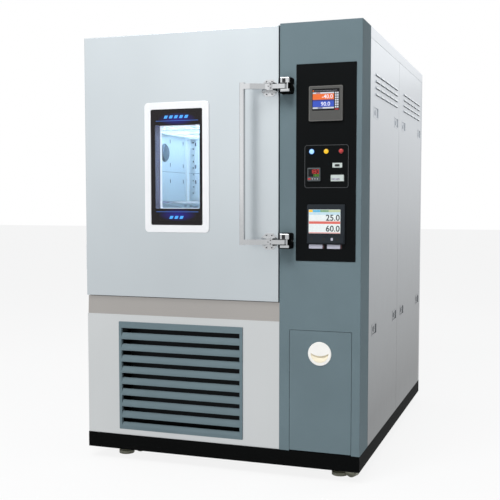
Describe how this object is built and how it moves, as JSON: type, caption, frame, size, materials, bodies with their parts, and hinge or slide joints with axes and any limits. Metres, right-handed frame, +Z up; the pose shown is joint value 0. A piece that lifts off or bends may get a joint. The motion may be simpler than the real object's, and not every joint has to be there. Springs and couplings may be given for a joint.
{
  "type": "environmental test chamber",
  "caption": "Floor-standing temperature and humidity test chamber with a windowed door, latching pull handle, control column, water drawer and levelling casters.",
  "frame": {"origin": "on the floor, under the middle of the bounding box", "axes": "+Z up; front with door and controls towards -Y; hinges on the -X side, control column on +X"},
  "size_m": [1.1276, 1.5536, 1.665],
  "materials": {
    "stainless": "satin",
    "galvanised": "satin",
    "blue_grey_paint": "satin",
    "black_paint": "satin",
    "black_panel": "gloss",
    "grey_plastic": "matte",
    "dark_plastic": "matte",
    "white_plastic": "gloss",
    "tank_plastic": "matte",
    "lamp_lens": "gloss",
    "key_red": "matte",
    "foam": "matte",
    "seal_rubber": "matte",
    "pane_glass": "gloss",
    "chrome": "polished",
    "caster_ivory": "matte",
    "wheel_nylon": "matte",
    "copper_fin": "satin"
  },
  "bodies": {
    "root": {"cabinet_frame": "black_paint", "column_shell": "blue_grey_paint", "control_fascia": "black_panel", "controller_body": "grey_plastic", "recorder_body": "dark_plastic", "limit_controller": "grey_plastic", "panel_inserts": "white_plastic", "pilot_lamps": "lamp_lens", "right_side_panels": "stainless", "left_side_panels": "stainless", "panel_fasteners": "stainless", "top_cover": "stainless", "back_panel": "stainless", "lower_front_panel": "stainless", "sill_strip": "stainless", "intake_grille": "blue_grey_paint", "insulation": "foam", "chamber_liner": "stainless", "wire_shelves": "stainless", "rear_baffle": "stainless", "cable_port": "stainless", "chamber_lamp": "white_plastic", "fan_motor": "black_paint", "air_treatment": "copper_fin", "compressor": "black_paint", "condenser": "copper_fin", "electrical_plate": "galvanised", "hinge_leaves": "stainless", "keeper_spacers": "black_paint", "latch_keepers": "chrome", "levelling_mounts": "caster_ivory"},
    "door": {"door_skin": "stainless", "door_core": "foam", "door_inner_pan": "stainless", "door_gasket": "seal_rubber", "window_frame": "white_plastic", "window_panes": "pane_glass", "window_reveal": "dark_plastic", "hinge_knuckles": "stainless", "latch_housings": "chrome"},
    "handle": {"pull_handle": "chrome"},
    "water_drawer": {"drawer_front": "blue_grey_paint", "drawer_pull": "white_plastic", "water_tank": "tank_plastic"},
    "recorder_flap": {"recorder_flap": "dark_plastic"},
    "circulation_fan": {"circulation_impeller": "galvanised"},
    "condenser_fan": {"condenser_fan": "black_paint"},
    "limit_key_red": {"limit_key_red": "key_red"},
    "limit_key_left": {"limit_key_left": "grey_plastic"},
    "limit_key_middle": {"limit_key_middle": "grey_plastic"},
    "limit_key_right": {"limit_key_right": "grey_plastic"},
    "caster_fork_front_left": {"caster_fork_front_left": "caster_ivory"},
    "caster_wheel_front_left": {"caster_wheel_front_left": "wheel_nylon"},
    "caster_fork_front_right": {"caster_fork_front_right": "caster_ivory"},
    "caster_wheel_front_right": {"caster_wheel_front_right": "wheel_nylon"},
    "caster_fork_rear_left": {"caster_fork_rear_left": "caster_ivory"},
    "caster_wheel_rear_left": {"caster_wheel_rear_left": "wheel_nylon"},
    "caster_fork_rear_right": {"caster_fork_rear_right": "caster_ivory"},
    "caster_wheel_rear_right": {"caster_wheel_rear_right": "wheel_nylon"}
  },
  "joints": [
    {"name": "door_hinge", "type": "hinge", "parent": "root", "child": "door", "pos_m": [-0.5558, -0.6548, 1.157], "axis": [0, 0, 1], "range_deg": [-115, 0]},
    {"name": "handle_pull", "type": "hinge", "parent": "door", "child": "handle", "pos_m": [0.2312, -0.7348, 1.157], "axis": [0, 0, 1], "range_deg": [0, 14], "stiffness_Nm_per_rad": 6},
    {"name": "drawer_slide", "type": "slide", "parent": "root", "child": "water_drawer", "axis": [0, -1, 0], "range_m": [0, 0.36]},
    {"name": "flap_hinge", "type": "hinge", "parent": "root", "child": "recorder_flap", "pos_m": [0.43145, -0.706, 0.877], "axis": [1, 0, 0], "range_deg": [0, 100]},
    {"name": "circulation_fan_spin", "type": "hinge", "parent": "root", "child": "circulation_fan", "pos_m": [-0.1438, 0.2202, 1.375], "axis": [0, 1, 0], "continuous": true},
    {"name": "condenser_fan_spin", "type": "hinge", "parent": "root", "child": "condenser_fan", "pos_m": [-0.1478, -0.5348, 0.345], "axis": [0, 1, 0], "continuous": true},
    {"name": "limit_key_red_press", "type": "slide", "parent": "root", "child": "limit_key_red", "axis": [0, 1, 0], "range_m": [0, 0.0008], "stiffness_N_per_m": 300},
    {"name": "limit_key_left_press", "type": "slide", "parent": "root", "child": "limit_key_left", "axis": [0, 1, 0], "range_m": [0, 0.0008], "stiffness_N_per_m": 300},
    {"name": "limit_key_middle_press", "type": "slide", "parent": "root", "child": "limit_key_middle", "axis": [0, 1, 0], "range_m": [0, 0.0008], "stiffness_N_per_m": 300},
    {"name": "limit_key_right_press", "type": "slide", "parent": "root", "child": "limit_key_right", "axis": [0, 1, 0], "range_m": [0, 0.0008], "stiffness_N_per_m": 300},
    {"name": "caster_swivel_front_left", "type": "hinge", "parent": "root", "child": "caster_fork_front_left", "pos_m": [-0.4288, -0.5888, 0.0645], "axis": [0, 0, 1], "continuous": true},
    {"name": "caster_wheel_spin_front_left", "type": "hinge", "parent": "caster_fork_front_left", "child": "caster_wheel_front_left", "pos_m": [-0.38375, -0.55725, 0.027], "axis": [-0.5736, 0.8192, 0], "continuous": true},
    {"name": "caster_swivel_front_right", "type": "hinge", "parent": "root", "child": "caster_fork_front_right", "pos_m": [0.4632, -0.5888, 0.0645], "axis": [0, 0, 1], "continuous": true},
    {"name": "caster_wheel_spin_front_right", "type": "hinge", "parent": "caster_fork_front_right", "child": "caster_wheel_front_right", "pos_m": [0.51488, -0.60761, 0.027], "axis": [0.342, 0.9397, 0], "continuous": true},
    {"name": "caster_swivel_rear_left", "type": "hinge", "parent": "root", "child": "caster_fork_rear_left", "pos_m": [-0.4288, 0.6662, 0.0645], "axis": [0, 0, 1], "continuous": true},
    {"name": "caster_wheel_spin_rear_left", "type": "hinge", "parent": "caster_fork_rear_left", "child": "caster_wheel_rear_left", "pos_m": [-0.4013, 0.71383, 0.027], "axis": [-0.866, 0.5, 0], "continuous": true},
    {"name": "caster_swivel_rear_right", "type": "hinge", "parent": "root", "child": "caster_fork_rear_right", "pos_m": [0.4632, 0.6662, 0.0645], "axis": [0, 0, 1], "continuous": true},
    {"name": "caster_wheel_spin_rear_right", "type": "hinge", "parent": "caster_fork_rear_right", "child": "caster_wheel_rear_right", "pos_m": [0.4357, 0.71383, 0.027], "axis": [-0.866, -0.5, 0], "continuous": true}
  ]
}
